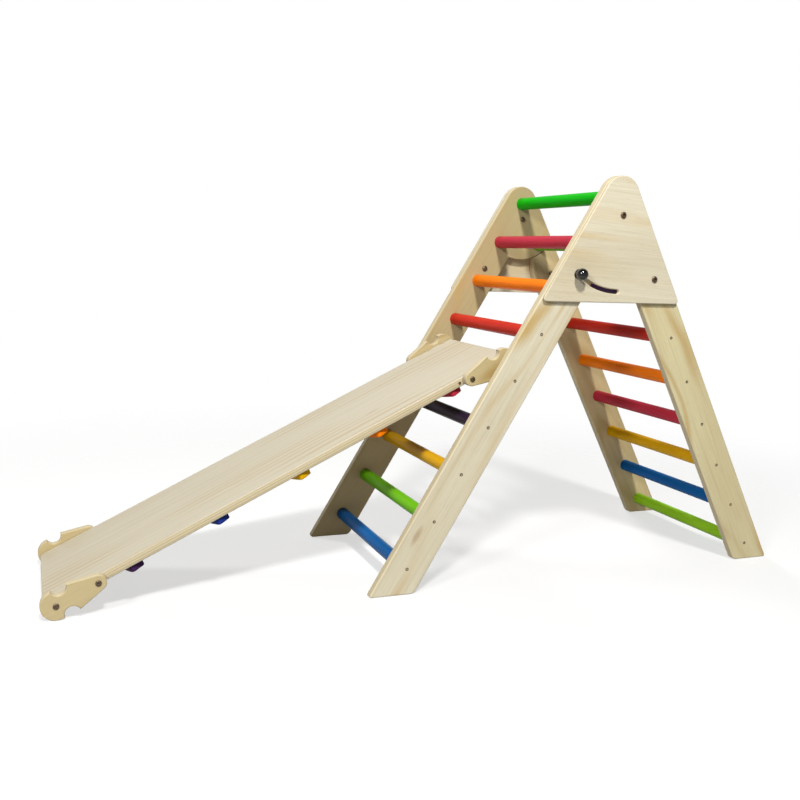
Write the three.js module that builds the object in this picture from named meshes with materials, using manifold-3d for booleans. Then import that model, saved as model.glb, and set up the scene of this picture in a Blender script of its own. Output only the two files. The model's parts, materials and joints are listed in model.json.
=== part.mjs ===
// Folding climbing triangle with a hook-on slide board, for toddlers.
//
// Millimetres, +Z up. The slide runs down towards -X, the rear ladder stands at +X, and Y is
// across the object. Left is -Y, the left hand of a child who sits on the board facing down it.
//
// Everything in the side view is placed from the crown: the axis of the top rung, where the centre
// lines of both ladders meet. The last lines move the whole object onto its base.
import * as THREE from 'three';
import { mergeVertices } from 'three/addons/utils/BufferGeometryUtils.js';
import Module from 'manifold-3d';

const wasm = await Module();
wasm.setup();

// ---------------------------------------------------------------- driving dimensions

// Ladders
const CROWN_HEIGHT = 851; // floor to the axis of the top rung
const FRONT_LEAN = THREE.MathUtils.degToRad(-30.25); // from vertical, negative towards the slide
const REAR_LEAN = THREE.MathUtils.degToRad(28.25);
const FOLD_TRAVEL = THREE.MathUtils.degToRad(38); // how far the rear ladder closes on the front one
const RUNG_PITCH = 115;
const LOWEST_RUNG = 38; // least height of a rung's axis above the floor
const RUNG_RADIUS = 15;
const RUNG_CHAMFER = 1.5;
const SOCKET_DEPTH = 8; // how far a rung goes into each stile
const INNER_WIDTH = 426; // between the inner faces of the stiles
const STILE_WIDTH = 88;
const STILE_THICKNESS = 20;
const FOOT_RADIUS = 9;

// Fold joint
const PIVOT = new THREE.Vector2(3.9, -38.7); // below the crown, in the side view
const HEAD_MARGIN = 7.6; // wood between the head's end and the uppermost rear rung
const HEAD_GAP = 1.5; // between the head and the hollow top end of the rear stile
const PLATE_THICKNESS = 8;
const PLATE_CORNER = 16;
const PLATE_MARGIN = 19.5; // plate left below the clamp slot
const CLAMP_ABOVE = 36; // clamp stud above the third front rung, along the stile
const PLATE_BOLT_ABOVE = 31; // plate bolt above the second rear rung, along the stile
const PLATE_BOLT_OUT = 4; // the plate bolt's offset from the rear stile's centre line

// Hardware
const BOLT_RADIUS = 4;
const BOLT_HEAD_RADIUS = 7;
const BOLT_HEAD_HEIGHT = 3.6;
const NUT_RADIUS = 6.5;
const NUT_HEIGHT = 6;
const NUT_GRIP = 4; // length of bolt inside a nut
const WASHER_RADIUS = 11;
const WASHER_THICKNESS = 1.5;
const KNOB_RADIUS = 13;
const KNOB_NECK_RADIUS = 8;
const KNOB_NECK = 3;
const KNOB_GRIP = 14; // length of stud inside the knob

// Slide board
const HOOK_RUNG = 5; // the front rung that carries the board, counted from the top
const BOARD_LENGTH = 1079;
const BOARD_THICKNESS = 18;
const BOARD_CORNER = 5;
const HOOK_THICKNESS = 18;
const HOOK_ROOM = 36.7; // between a hook plate and the stile beside it
const HOOK_LOBE_INSET = 23; // board end to lobe bolt
const HOOK_TAIL_RADIUS = 16;
const HOOK_TAIL = 51; // pointed shoulder behind the notch to the tail bolt
const HOOK_LIP = 3.2; // lobe bolt to the near side of the notch, along the board
const HOOK_SHORT = 1.4; // how far lobe and shoulder stop short of the rung's axis
const NOTCH_COVER = 5.6; // hook left between a notch and the face of the board
const SCREW_RADIUS = 3.2;
const SCREW_HEAD_RADIUS = 6;
const SCREW_HEAD_HEIGHT = 2.6;
const SCREW_GRIP = 40; // length of a hook screw inside the board

// Climbing cleats, on the face opposite to the sliding face
const CLEATS = 5;
const CLEAT_PITCH = 188;
const CLEAT_SHIFT = 18; // the set sits this much nearer to the board's upper end
const CLEAT_INSET = 3; // cleat end to the board's edge
const CLEAT_WIDTH = 30;
const CLEAT_HEIGHT = 14;
const CLEAT_RISE = 27; // how far the middle of the arc stands out from its ends
const CLEAT_CORNER = 7;

// Clearances
const CONTACT_GAP = 0.3; // between pieces that rest on each other
const BORE_GAP = 0.35; // round a shank in its hole
const SLOT_GAP = 0.8; // round the clamp stud in its slot
const NOTCH_GAP = 0.8; // round a rung in a hook's notch
const SLIDE_GAP = 0.5; // between the turning stile and its gusset plate

// Colours, each with its roughness
const TIMBER = { color: 0xe6dcb4, roughness: 0.55 };
const STEEL = { color: 0x4a4238, roughness: 0.35, metalness: 0.9 };
const KNOB_BLACK = { color: 0x0c0c0e, roughness: 0.18 };
const paint = (color) => ({ color, roughness: 0.25 });
const FRONT_COLOURS = [
  0x12cc1e, 0xc43c4c, 0xf08018, 0xc4301c, 0x1fae74, 0x6a3d86, 0xf0b828, 0x96cc3a, 0x2e78c8,
].map(paint);
const REAR_COLOURS = [
  0x8fd22a, 0x5a3274, 0xc4301c, 0xf08018, 0xc43c4c, 0xf0b828, 0x2e78c8, 0x96cc3a,
].map(paint);
const CLEAT_COLOURS = [0xd6465a, 0xf57818, 0xf5be1e, 0x283ca6, 0x784696].map(paint);

// ---------------------------------------------------------------- derived places

const HALF_STILE = STILE_WIDTH / 2;
const STILE_INNER = INNER_WIDTH / 2;
const STILE_OUTER = STILE_INNER + STILE_THICKNESS;
const PLATE_INNER = STILE_OUTER + SLIDE_GAP;
const PLATE_OUTER = PLATE_INNER + PLATE_THICKNESS;
const NOTCH_RADIUS = RUNG_RADIUS + NOTCH_GAP;
const SIDES = { left: -1, right: 1 };
const ARC_SEGMENTS = 12; // in each arc of an outline
const RUNG_SEGMENTS = 24;
const SHANK_SEGMENTS = 16;

// A point in the side view: `down` along a ladder's centre line from the crown, and `out` from it,
// positive on the side away from the other ladder.
function inLadder(lean, down, out) {
  const outward = Math.sign(lean);
  return new THREE.Vector2(
    Math.sin(lean) * down + outward * Math.cos(lean) * out,
    -Math.cos(lean) * down + outward * Math.sin(lean) * out,
  );
}

// The point at height z on the line that runs at `out` along a ladder.
function atHeight(lean, z, out) {
  return inLadder(lean, (Math.abs(Math.sin(lean)) * out - z) / Math.cos(lean), out);
}

// The point furthest down that same line which is `radius` from the pivot.
function atRadius(lean, radius, out) {
  const start = inLadder(lean, 0, out).sub(PIVOT);
  const direction = new THREE.Vector2(Math.sin(lean), -Math.cos(lean));
  const mid = start.dot(direction);
  return inLadder(lean, Math.sqrt(radius ** 2 - start.lengthSq() + mid ** 2) - mid, out);
}

const angleAt = (centre, point) => Math.atan2(point.y - centre.y, point.x - centre.x);

// The axes of a ladder's rungs, from rung `first` below the crown down to the lowest that fits.
function rungPlaces(lean, first) {
  const last = Math.floor((CROWN_HEIGHT - LOWEST_RUNG) / Math.cos(lean) / RUNG_PITCH);
  return Array.from({ length: last - first + 1 }, (_, i) => inLadder(lean, (first + i) * RUNG_PITCH, 0));
}

const frontRungs = rungPlaces(FRONT_LEAN, 0);
// The uppermost rear rung sits in the heads of the front stiles, the others in the rear stiles.
const [headRung, ...rearRungs] = rungPlaces(REAR_LEAN, 1);
const HEAD_RADIUS = headRung.distanceTo(PIVOT) + RUNG_RADIUS + HEAD_MARGIN;

const CLAMP = inLadder(FRONT_LEAN, 2 * RUNG_PITCH - CLAMP_ABOVE, 0);
const CLAMP_RADIUS = CLAMP.distanceTo(PIVOT);
const PLATE_BOLT = inLadder(REAR_LEAN, 2 * RUNG_PITCH - PLATE_BOLT_ABOVE, PLATE_BOLT_OUT);
const PLATE_DROP = CLAMP_RADIUS - PIVOT.y + BOLT_RADIUS + SLOT_GAP + PLATE_MARGIN;

// ---------------------------------------------------------------- geometry helpers

// A manifold solid from a three.js geometry, and back.
function solid(geometry) {
  const bare = geometry.clone();
  bare.deleteAttribute('normal');
  bare.deleteAttribute('uv');
  const merged = mergeVertices(bare, 1e-4);
  return new wasm.Manifold(new wasm.Mesh({
    numProp: 3,
    vertProperties: new Float32Array(merged.attributes.position.array),
    triVerts: new Uint32Array(merged.index.array),
  }));
}

function geometryOf(body) {
  const mesh = body.getMesh();
  const geometry = new THREE.BufferGeometry();
  geometry.setAttribute('position', new THREE.BufferAttribute(mesh.vertProperties, 3));
  geometry.setIndex(new THREE.BufferAttribute(mesh.triVerts, 1));
  geometry.computeVertexNormals();
  return geometry;
}

// An outline of the side view, thickened across the object between two values of y.
function panel(shape, yLow, yHigh) {
  const options = { depth: yHigh - yLow, bevelEnabled: false, curveSegments: ARC_SEGMENTS };
  return new THREE.ExtrudeGeometry(shape, options).rotateX(Math.PI / 2).translate(0, yHigh, 0);
}

// A round bar along Y, used to cut holes, sockets and notches.
function bar(centre, radius, yA, yB) {
  const length = Math.abs(yB - yA);
  const segments = radius < RUNG_RADIUS ? SHANK_SEGMENTS : RUNG_SEGMENTS;
  const geometry = new THREE.CylinderGeometry(radius, radius, length, segments);
  return solid(geometry.translate(centre.x, (yA + yB) / 2, centre.y));
}

const drilled = (geometry, cutters) =>
  geometryOf(cutters.reduce((body, cutter) => body.subtract(cutter), solid(geometry)));

// A turned piece about its own Y axis, from a profile of [radius, height] that starts on the axis.
function turned(profile, segments = SHANK_SEGMENTS) {
  const points = profile.map(([radius, height]) => new THREE.Vector2(radius, height));
  return new THREE.LatheGeometry(points, segments);
}

function piece(name, geometry, look) {
  const mesh = new THREE.Mesh(geometry, new THREE.MeshStandardMaterial(look));
  mesh.name = name;
  return mesh;
}

// Places a piece whose own +Y points away from the middle of the object.
function facingOut(mesh, side, centre, distance) {
  mesh.position.set(centre.x, side * distance, centre.y);
  mesh.rotation.z = side > 0 ? 0 : Math.PI;
  return mesh;
}

// ---------------------------------------------------------------- stiles

// Traces a rounded corner that is reached along one direction and left along another, both given
// as unit vectors that point away from the corner.
function traceCorner(shape, corner, arrive, leave, radius) {
  const start = corner.clone().addScaledVector(arrive, radius);
  const end = corner.clone().addScaledVector(leave, radius);
  shape.lineTo(start.x, start.y);
  shape.quadraticCurveTo(corner.x, corner.y, end.x, end.y);
}

// Traces a level lower edge with rounded corners, from the line at `from` to the line at `to`,
// each given as its ladder's lean and the distance out from its centre line.
function traceLevelEdge(shape, height, from, to, radius) {
  const [first, last] = [from, to].map(({ lean, out }) => atHeight(lean, height, out));
  const [firstUp, lastUp] = [from, to].map(({ lean }) => inLadder(lean, -1, 0));
  const across = last.clone().sub(first).normalize();
  traceCorner(shape, first, firstUp, across, radius);
  traceCorner(shape, last, across.clone().negate(), lastUp, radius);
}

// The outer edges of both ladders are tangent to a circle round the crown: this is its arc over
// the top, from the rear edge to the front edge.
function traceCrown(shape) {
  const rear = angleAt(new THREE.Vector2(), inLadder(REAR_LEAN, 0, 1));
  const front = angleAt(new THREE.Vector2(), inLadder(FRONT_LEAN, 0, 1));
  shape.absarc(0, 0, HALF_STILE, rear, front, false);
}

// A long edge of a stile: its outer edge for an outward of 1, its inner one for -1.
const edge = (lean, outward) => ({ lean, out: outward * HALF_STILE });

// The front stile widens into a head that fills the top of the triangle and ends in an arc round
// the pivot.
function frontStileShape() {
  const shape = new THREE.Shape();
  const innerJoin = atRadius(FRONT_LEAN, HEAD_RADIUS, -HALF_STILE);
  const outerJoin = atRadius(REAR_LEAN, HEAD_RADIUS, HALF_STILE);
  shape.moveTo(innerJoin.x, innerJoin.y);
  shape.absarc(PIVOT.x, PIVOT.y, HEAD_RADIUS, angleAt(PIVOT, innerJoin), angleAt(PIVOT, outerJoin));
  traceCrown(shape);
  traceLevelEdge(shape, -CROWN_HEIGHT, edge(FRONT_LEAN, 1), edge(FRONT_LEAN, -1), FOOT_RADIUS);
  shape.closePath();
  return shape;
}

// The rear stile ends in a hollow arc that leaves room for the head.
function rearStileShape() {
  const shape = new THREE.Shape();
  const innerJoin = atRadius(REAR_LEAN, HEAD_RADIUS + HEAD_GAP, -HALF_STILE);
  const outerJoin = atRadius(REAR_LEAN, HEAD_RADIUS + HEAD_GAP, HALF_STILE);
  const [from, to] = [angleAt(PIVOT, outerJoin), angleAt(PIVOT, innerJoin)];
  shape.moveTo(outerJoin.x, outerJoin.y);
  shape.absarc(PIVOT.x, PIVOT.y, HEAD_RADIUS + HEAD_GAP, from, to, true);
  shape.lineTo(innerJoin.x, innerJoin.y);
  traceLevelEdge(shape, -CROWN_HEIGHT, edge(REAR_LEAN, -1), edge(REAR_LEAN, 1), FOOT_RADIUS);
  shape.closePath();
  return shape;
}

// Sockets for the rungs of one ladder in the inner face of a stile.
const socketEnd = STILE_INNER + SOCKET_DEPTH + CONTACT_GAP;
const sockets = (places, side) => places.map((place) => (
  bar(place, RUNG_RADIUS + BORE_GAP, side * (STILE_INNER - 1), side * socketEnd)
));

const boltHole = (centre, side) => bar(
  centre, BOLT_RADIUS + BORE_GAP, side * (STILE_INNER - 1), side * (PLATE_OUTER + 1),
);

// A panel between two distances from the middle of the object, on one side of it.
const sidePanel = (shape, side, near, far) => (
  side > 0 ? panel(shape, near, far) : panel(shape, -far, -near)
);

// The room that the front stile's inner edge needs in the rear stile once the object is folded.
function foldedFrontStile() {
  const far = 2 * CROWN_HEIGHT;
  const corners = [
    [0, -HALF_STILE - HEAD_GAP], [far, -HALF_STILE - HEAD_GAP], [far, far], [0, far],
  ].map(([down, out]) => inLadder(FRONT_LEAN, down, out).rotateAround(PIVOT, FOLD_TRAVEL));
  return solid(panel(new THREE.Shape(corners), -PLATE_OUTER, PLATE_OUTER));
}

function frontStile(side) {
  const holes = [PIVOT, CLAMP].map((centre) => boltHole(centre, side));
  const blank = sidePanel(frontStileShape(), side, STILE_INNER, STILE_OUTER);
  return drilled(blank, [...sockets([...frontRungs, headRung], side), ...holes]);
}

function rearStile(side) {
  const blank = sidePanel(rearStileShape(), side, STILE_INNER, STILE_OUTER);
  return drilled(blank, [...sockets(rearRungs, side), boltHole(PLATE_BOLT, side), foldedFrontStile()]);
}

// ---------------------------------------------------------------- gusset plates

// An arc slot round the pivot that lets the clamp stud travel through the whole fold.
function clampSlot() {
  const radius = BOLT_RADIUS + SLOT_GAP;
  const open = angleAt(PIVOT, CLAMP);
  const folded = open + FOLD_TRAVEL;
  const last = CLAMP.clone().rotateAround(PIVOT, FOLD_TRAVEL);
  const slot = new THREE.Path();
  slot.absarc(PIVOT.x, PIVOT.y, CLAMP_RADIUS + radius, open, folded, false);
  slot.absarc(last.x, last.y, radius, folded, folded + Math.PI, false);
  slot.absarc(PIVOT.x, PIVOT.y, CLAMP_RADIUS - radius, folded, open, true);
  slot.absarc(CLAMP.x, CLAMP.y, radius, open + Math.PI, open + 2 * Math.PI, false);
  return slot;
}

function gussetPlate(side) {
  const shape = new THREE.Shape();
  traceCrown(shape);
  traceLevelEdge(shape, -PLATE_DROP, edge(FRONT_LEAN, 1), edge(REAR_LEAN, 1), PLATE_CORNER);
  shape.closePath();
  shape.holes.push(clampSlot());
  const blank = sidePanel(shape, side, PLATE_INNER, PLATE_OUTER);
  return drilled(blank, [PIVOT, PLATE_BOLT].map((centre) => boltHole(centre, side)));
}

// ---------------------------------------------------------------- rungs and hardware

function rung() {
  const half = STILE_INNER + SOCKET_DEPTH;
  return turned([
    [0, -half], [RUNG_RADIUS - RUNG_CHAMFER, -half], [RUNG_RADIUS, -half + RUNG_CHAMFER],
    [RUNG_RADIUS, half - RUNG_CHAMFER], [RUNG_RADIUS - RUNG_CHAMFER, half], [0, half],
  ], RUNG_SEGMENTS);
}

// A bolt with a low domed head. Its origin is under the head and the shank runs towards -Y.
function domedBolt(shankRadius, headRadius, headHeight, length) {
  return turned([
    [0, -length], [shankRadius, -length], [shankRadius, 0], [headRadius, 0],
    [headRadius, headHeight * 0.35], [headRadius * 0.8, headHeight * 0.8], [headRadius * 0.4, headHeight],
    [0, headHeight],
  ]);
}

// A cap nut: its origin is on the face that meets the stile, and it stands towards -Y.
function capNut() {
  const bore = BOLT_RADIUS + BORE_GAP;
  return turned([
    [0, -NUT_GRIP - CONTACT_GAP], [bore, -NUT_GRIP - CONTACT_GAP], [bore, 0], [NUT_RADIUS, 0],
    [NUT_RADIUS, -NUT_HEIGHT * 0.7], [NUT_RADIUS * 0.6, -NUT_HEIGHT], [0, -NUT_HEIGHT],
  ].reverse());
}

// The clamp stud: a low head inside the stile, and a shank that runs out to the knob, towards +Y.
function clampStud(length) {
  return turned([
    [0, -NUT_GRIP], [BOLT_HEAD_RADIUS * 0.8, -NUT_GRIP], [BOLT_HEAD_RADIUS, -NUT_GRIP * 0.6],
    [BOLT_HEAD_RADIUS, 0], [BOLT_RADIUS, 0], [BOLT_RADIUS, length], [0, length],
  ]);
}

function clampWasher() {
  const bore = BOLT_RADIUS + BORE_GAP;
  return turned([
    [bore, 0], [WASHER_RADIUS, 0], [WASHER_RADIUS, WASHER_THICKNESS], [bore, WASHER_THICKNESS], [bore, 0],
  ]);
}

// A ball knob on a short neck, with a blind bore for the stud.
function clampKnob() {
  const bore = BOLT_RADIUS + BORE_GAP;
  const depth = KNOB_GRIP + CONTACT_GAP;
  const start = Math.asin(KNOB_NECK_RADIUS / KNOB_RADIUS);
  const centre = KNOB_NECK + Math.cos(start) * KNOB_RADIUS;
  const steps = 10;
  const ball = Array.from({ length: steps + 1 }, (_, i) => {
    const angle = start + (Math.PI - start) * (i / steps);
    return [i === steps ? 0 : Math.sin(angle) * KNOB_RADIUS, centre - Math.cos(angle) * KNOB_RADIUS];
  });
  return turned([[0, depth], [bore, depth], [bore, 0], [KNOB_NECK_RADIUS, 0], ...ball], RUNG_SEGMENTS);
}

// ---------------------------------------------------------------- slide board
// The board has its own frame: the hook rung's axis is the origin, +X runs up the slope along the
// board, and +Z is the normal of the sliding face.

const HOOK_OUTER = STILE_INNER - HOOK_ROOM;
const HOOK_INNER = HOOK_OUTER - HOOK_THICKNESS;
const HALF_BOARD = HOOK_INNER - CONTACT_GAP;
const NOTCH_ALONG = HOOK_LIP + NOTCH_RADIUS; // lobe bolt to the rung's axis, along the board
const NOTCH_DROP = NOTCH_RADIUS + NOTCH_COVER + BOARD_THICKNESS / 2; // board's mid-plane to that axis
const HOOK_LOBE_RADIUS = NOTCH_DROP - HOOK_SHORT;
const HOOK_SHOULDER = NOTCH_ALONG + NOTCH_RADIUS;
const HOOK_LENGTH = HOOK_SHOULDER + HOOK_TAIL; // lobe bolt to tail bolt
const BOARD_MID = NOTCH_ALONG + HOOK_LOBE_INSET - BOARD_LENGTH / 2;
const BOARD_BASE = NOTCH_DROP - BOARD_THICKNESS / 2;
// Each end's lobe bolt, and the direction from it towards the middle of the board.
const ENDS = {
  upper: { lobe: NOTCH_ALONG, inward: -1 },
  lower: { lobe: NOTCH_ALONG + 2 * HOOK_LOBE_INSET - BOARD_LENGTH, inward: 1 },
};
const screwPlaces = Object.values(ENDS).flatMap(({ lobe, inward }) => (
  [0, HOOK_LENGTH].map((along) => new THREE.Vector2(lobe + inward * along, NOTCH_DROP))
));

// A hook plate about its lobe bolt, with its tail towards -X: a round lobe at the board's end, a
// notch above and below, a pointed shoulder behind each notch, and a round tail.
function hookPlate() {
  const run = HOOK_LENGTH - HOOK_SHOULDER;
  const narrowing = Math.atan2(HOOK_LOBE_RADIUS, run)
    - Math.asin(HOOK_TAIL_RADIUS / Math.hypot(run, HOOK_LOBE_RADIUS));
  const tailEdge = Math.PI / 2 + narrowing;
  const shape = new THREE.Shape();
  shape.absarc(0, 0, HOOK_LOBE_RADIUS, -Math.PI / 2, Math.PI / 2, false);
  shape.lineTo(-HOOK_SHOULDER, HOOK_LOBE_RADIUS);
  shape.absarc(-HOOK_LENGTH, 0, HOOK_TAIL_RADIUS, tailEdge, 2 * Math.PI - tailEdge, false);
  shape.lineTo(-HOOK_SHOULDER, -HOOK_LOBE_RADIUS);
  shape.closePath();
  const half = HOOK_THICKNESS / 2;
  const notches = [-NOTCH_DROP, NOTCH_DROP].map((drop) => (
    bar(new THREE.Vector2(-NOTCH_ALONG, drop), NOTCH_RADIUS, -half - 1, half + 1)
  ));
  const holes = [0, -HOOK_LENGTH].map((along) => (
    bar(new THREE.Vector2(along, 0), SCREW_RADIUS + BORE_GAP, -half - 1, half + 1)
  ));
  return drilled(panel(shape, -half, half), [...notches, ...holes]);
}

// The board, with a blind hole in its long edges for each hook screw.
function slideBoard() {
  const [x, y] = [BOARD_LENGTH / 2 - BOARD_CORNER, HALF_BOARD - BOARD_CORNER];
  const shape = new THREE.Shape();
  [[x, y], [-x, y], [-x, -y], [x, -y]].forEach(([cornerX, cornerY], i) => {
    const start = i * Math.PI / 2;
    shape.absarc(cornerX, cornerY, BOARD_CORNER, start, start + Math.PI / 2, false);
  });
  shape.closePath();
  const options = { depth: BOARD_THICKNESS, bevelEnabled: false, curveSegments: 4 };
  const blank = new THREE.ExtrudeGeometry(shape, options).translate(BOARD_MID, 0, BOARD_BASE);
  const holeEnd = HALF_BOARD - SCREW_GRIP - CONTACT_GAP;
  const holes = Object.values(SIDES).flatMap((side) => screwPlaces.map((place) => (
    bar(place, SCREW_RADIUS + BORE_GAP, side * holeEnd, side * (HALF_BOARD + 1))
  )));
  return drilled(blank, holes);
}

// A climbing cleat: a flat bar bent to an arc in the plane of the board, with round ends. Its
// origin is midway between its ends, and the arc bulges towards -X.
function cleat() {
  const half = HALF_BOARD - CLEAT_INSET - CLEAT_WIDTH / 2;
  const radius = (half ** 2 + CLEAT_RISE ** 2) / (2 * CLEAT_RISE);
  const outer = radius + CLEAT_WIDTH / 2;
  const inner = radius - CLEAT_WIDTH / 2;
  const reach = Math.asin((HALF_BOARD - CLEAT_INSET) / outer);
  const centre = radius - CLEAT_RISE;
  const shape = new THREE.Shape();
  const corner = (at, turn, start, end) => {
    const x = centre + at * Math.cos(turn);
    shape.absarc(x, at * Math.sin(turn), CLEAT_CORNER, start, end, false);
  };
  const outerCorner = outer - CLEAT_CORNER;
  const innerCorner = inner + CLEAT_CORNER;
  const outerTurn = reach - Math.asin(CLEAT_CORNER / outerCorner);
  const innerTurn = reach - Math.asin(CLEAT_CORNER / innerCorner);
  shape.absarc(centre, 0, outer, Math.PI - outerTurn, Math.PI + outerTurn, false);
  corner(outerCorner, Math.PI + outerTurn, Math.PI + outerTurn, 1.5 * Math.PI + reach);
  corner(innerCorner, Math.PI + innerTurn, 1.5 * Math.PI + reach, 2 * Math.PI + innerTurn);
  shape.absarc(centre, 0, inner, Math.PI + innerTurn, Math.PI - innerTurn, true);
  corner(innerCorner, Math.PI - innerTurn, -innerTurn, Math.PI / 2 - reach);
  corner(outerCorner, Math.PI - outerTurn, Math.PI / 2 - reach, Math.PI - outerTurn);
  shape.closePath();
  const options = { depth: CLEAT_HEIGHT, bevelEnabled: false, curveSegments: 12 };
  return new THREE.ExtrudeGeometry(shape, options);
}

// ---------------------------------------------------------------- assembly

const toddlerSlide = new THREE.Group();

for (const [name, side] of Object.entries(SIDES)) {
  const washerFace = PLATE_OUTER + CONTACT_GAP;
  const knobFace = washerFace + WASHER_THICKNESS + CONTACT_GAP;
  const nutFace = STILE_INNER - CONTACT_GAP;
  const boltLength = washerFace - nutFace + NUT_GRIP;
  const studLength = knobFace - nutFace + KNOB_GRIP;
  const bolt = domedBolt(BOLT_RADIUS, BOLT_HEAD_RADIUS, BOLT_HEAD_HEIGHT, boltLength);
  toddlerSlide.add(
    piece(`front_stile_${name}`, frontStile(side), TIMBER),
    piece(`rear_stile_${name}`, rearStile(side), TIMBER),
    piece(`gusset_plate_${name}`, gussetPlate(side), TIMBER),
    facingOut(piece(`pivot_bolt_${name}`, bolt, STEEL), side, PIVOT, washerFace),
    facingOut(piece(`pivot_nut_${name}`, capNut(), STEEL), side, PIVOT, nutFace),
    facingOut(piece(`plate_bolt_${name}`, bolt, STEEL), side, PLATE_BOLT, washerFace),
    facingOut(piece(`plate_nut_${name}`, capNut(), STEEL), side, PLATE_BOLT, nutFace),
    facingOut(piece(`clamp_stud_${name}`, clampStud(studLength), STEEL), side, CLAMP, nutFace),
    facingOut(piece(`clamp_washer_${name}`, clampWasher(), STEEL), side, CLAMP, washerFace),
    facingOut(piece(`clamp_knob_${name}`, clampKnob(), KNOB_BLACK), side, CLAMP, knobFace),
  );
}

const addRungs = (ladder, places, colours) => places.forEach((place, i) => {
  const mesh = piece(`${ladder}_rung_${i + 1}`, rung(), colours[i % colours.length]);
  mesh.position.set(place.x, 0, place.y);
  toddlerSlide.add(mesh);
});
addRungs('front', frontRungs, FRONT_COLOURS);
addRungs('rear', [headRung, ...rearRungs], REAR_COLOURS);

const slide = new THREE.Group();
slide.add(piece('slide_board', slideBoard(), TIMBER));
for (const [endName, { lobe, inward }] of Object.entries(ENDS)) {
  for (const [sideName, side] of Object.entries(SIDES)) {
    const hook = piece(`hook_plate_${endName}_${sideName}`, hookPlate(), TIMBER);
    hook.position.set(lobe, side * (HOOK_INNER + HOOK_THICKNESS / 2), NOTCH_DROP);
    hook.rotation.y = inward < 0 ? 0 : Math.PI;
    slide.add(hook);
    for (const [screwName, along] of [['lobe', 0], ['tail', HOOK_LENGTH]]) {
      const length = HOOK_THICKNESS + 2 * CONTACT_GAP + SCREW_GRIP;
      const screw = domedBolt(SCREW_RADIUS, SCREW_HEAD_RADIUS, SCREW_HEAD_HEIGHT, length);
      const mesh = piece(`${screwName}_screw_${endName}_${sideName}`, screw, STEEL);
      const place = new THREE.Vector2(lobe + inward * along, NOTCH_DROP);
      slide.add(facingOut(mesh, side, place, HOOK_OUTER + CONTACT_GAP));
    }
  }
}
for (let i = 0; i < CLEATS; i += 1) {
  const mesh = piece(`cleat_${i + 1}`, cleat(), CLEAT_COLOURS[i % CLEAT_COLOURS.length]);
  const along = BOARD_MID + CLEAT_SHIFT + ((CLEATS - 1) / 2 - i) * CLEAT_PITCH;
  mesh.position.set(along, 0, BOARD_BASE - CONTACT_GAP - CLEAT_HEIGHT);
  slide.add(mesh);
}

// The board hangs on its rung and slopes until the lobes of its lower hooks stand on the floor.
const hookRung = frontRungs[HOOK_RUNG - 1];
const fall = CROWN_HEIGHT + hookRung.y - HOOK_LOBE_RADIUS;
const slope = Math.asin(fall / Math.hypot(ENDS.lower.lobe, NOTCH_DROP))
  + Math.atan2(NOTCH_DROP, -ENDS.lower.lobe);
slide.position.set(hookRung.x, 0, hookRung.y);
slide.rotation.y = -slope;
toddlerSlide.add(slide);

// The origin is the middle of the base.
const bounds = new THREE.Box3().setFromObject(toddlerSlide, true);
toddlerSlide.position.set(-(bounds.min.x + bounds.max.x) / 2, 0, -bounds.min.z);

export default toddlerSlide;
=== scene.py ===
"""A toddler slide: a folding climbing triangle of two ladders with painted rungs, and a slide board
that hooks on the fifth rung of the front ladder, with climbing cleats on its underside."""

import json
import math

import bpy
import numpy as np
from mathutils import Matrix, Vector
from mathutils.geometry import tessellate_polygon


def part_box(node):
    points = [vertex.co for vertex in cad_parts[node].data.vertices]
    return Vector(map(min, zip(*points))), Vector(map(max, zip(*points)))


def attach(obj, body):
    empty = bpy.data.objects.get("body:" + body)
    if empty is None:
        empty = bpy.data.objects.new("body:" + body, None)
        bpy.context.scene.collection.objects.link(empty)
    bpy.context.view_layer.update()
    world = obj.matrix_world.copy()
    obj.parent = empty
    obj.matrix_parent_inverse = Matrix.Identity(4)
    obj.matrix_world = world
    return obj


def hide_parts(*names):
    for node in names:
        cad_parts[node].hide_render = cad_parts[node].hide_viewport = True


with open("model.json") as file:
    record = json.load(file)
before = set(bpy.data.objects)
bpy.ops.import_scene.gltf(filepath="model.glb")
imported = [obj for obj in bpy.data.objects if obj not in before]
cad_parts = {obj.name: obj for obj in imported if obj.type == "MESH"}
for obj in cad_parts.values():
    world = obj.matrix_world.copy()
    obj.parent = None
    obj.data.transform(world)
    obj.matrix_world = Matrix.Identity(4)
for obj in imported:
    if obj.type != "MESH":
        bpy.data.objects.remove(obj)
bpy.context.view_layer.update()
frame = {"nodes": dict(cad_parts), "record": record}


# ---- Camera, light and floor
# The camera stands a little above the gusset plates, to the left of the near side. Lamps high over
# the near and the far side and a lower one on the left leave the middle of the lowest front rungs
# in the board's shadow, which a white room fills.

CROWN = Vector((0.338836, 0.0, 0.851))  # middle of the top rung
CAMERA_TURN, CAMERA_RISE, CAMERA_ROLL = -0.39740, 0.17065, 0.04031
CAMERA_BACK, CAMERA_RIGHT, CAMERA_UP = 2.3200, -0.31963, -0.00271
AIM_BELOW_CROWN = 0.52273
LENS, SENSOR_WIDTH, SHIFT_X, SHIFT_Y = 42.2, 36.0, -0.027, 0.023
LAMPS_AIM = Vector((0.1, 0, 0.4))

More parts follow.
